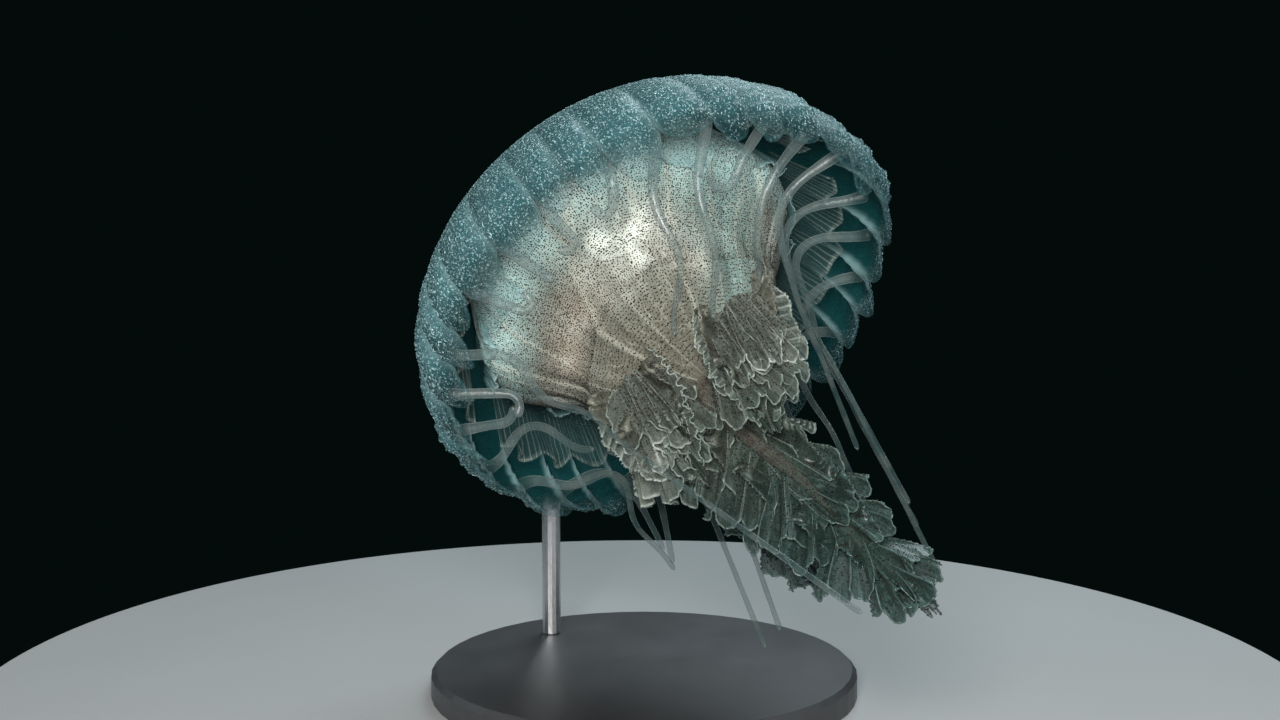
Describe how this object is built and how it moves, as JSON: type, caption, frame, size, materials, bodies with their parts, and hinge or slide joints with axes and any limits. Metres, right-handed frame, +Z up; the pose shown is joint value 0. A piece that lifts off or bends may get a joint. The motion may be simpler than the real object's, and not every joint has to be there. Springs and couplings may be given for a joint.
{
  "type": "sea nettle jellyfish model on a stand",
  "caption": "Still life-size sea nettle jellyfish, its domed bell leaned back, with a large stomach, frilled mouth arms and trailing tentacles, on a round base with one rod.",
  "frame": {"origin": "centre of the underside of the round stand base, on the floor", "axes": "+Z up; -Y towards the side that the mouth arms and tentacles trail to; +X to the right of a viewer who faces the open mouth"},
  "size_m": [0.1457, 0.2355, 0.19],
  "materials": {
    "bell_jelly": "translucent teal jelly with pale raised granules",
    "stomach_flesh": "cream membrane with small dark dots",
    "gonad_flesh": "pale translucent pleats",
    "arm_flesh": "cream to grey-green frilled curtain",
    "tentacle_flesh": "translucent grey with a paler edge",
    "stand_black": "satin black paint",
    "stand_steel": "brushed"
  },
  "bodies": {
    "root": {"arm_1": "arm_flesh", "arm_2_lower": "arm_flesh", "arm_2_upper": "arm_flesh", "arm_3": "arm_flesh", "arm_4_lower": "arm_flesh", "arm_4_upper": "arm_flesh", "bell_crown": "bell_jelly", "bell_margin_1": "bell_jelly", "bell_margin_2": "bell_jelly", "bell_margin_3": "bell_jelly", "bell_margin_4": "bell_jelly", "bell_margin_5": "bell_jelly", "bell_margin_6": "bell_jelly", "bell_margin_7": "bell_jelly", "bell_margin_8": "bell_jelly", "gonad_1": "gonad_flesh", "gonad_2": "gonad_flesh", "gonad_3": "gonad_flesh", "gonad_4": "gonad_flesh", "stand_base": "stand_black", "stand_rod": "stand_steel", "stomach": "stomach_flesh", "tentacle_01": "tentacle_flesh", "tentacle_01_tip": "tentacle_flesh", "tentacle_02": "tentacle_flesh", "tentacle_02_tip": "tentacle_flesh", "tentacle_03": "tentacle_flesh", "tentacle_03_tip": "tentacle_flesh", "tentacle_04": "tentacle_flesh", "tentacle_04_tip": "tentacle_flesh", "tentacle_05": "tentacle_flesh", "tentacle_06": "tentacle_flesh", "tentacle_06_tip": "tentacle_flesh", "tentacle_07": "tentacle_flesh", "tentacle_07_tip": "tentacle_flesh", "tentacle_08": "tentacle_flesh", "tentacle_08_tip": "tentacle_flesh", "tentacle_09": "tentacle_flesh", "tentacle_10": "tentacle_flesh", "tentacle_11": "tentacle_flesh", "tentacle_12": "tentacle_flesh", "tentacle_13": "tentacle_flesh", "tentacle_14": "tentacle_flesh", "tentacle_15": "tentacle_flesh", "tentacle_15_tip": "tentacle_flesh", "tentacle_16": "tentacle_flesh", "tentacle_17": "tentacle_flesh", "tentacle_18": "tentacle_flesh", "tentacle_19": "tentacle_flesh", "tentacle_20": "tentacle_flesh", "tentacle_21": "tentacle_flesh", "tentacle_22": "tentacle_flesh", "tentacle_23": "tentacle_flesh", "tentacle_24": "tentacle_flesh", "tentacle_24_tip": "tentacle_flesh"}
  },
  "joints": []
}
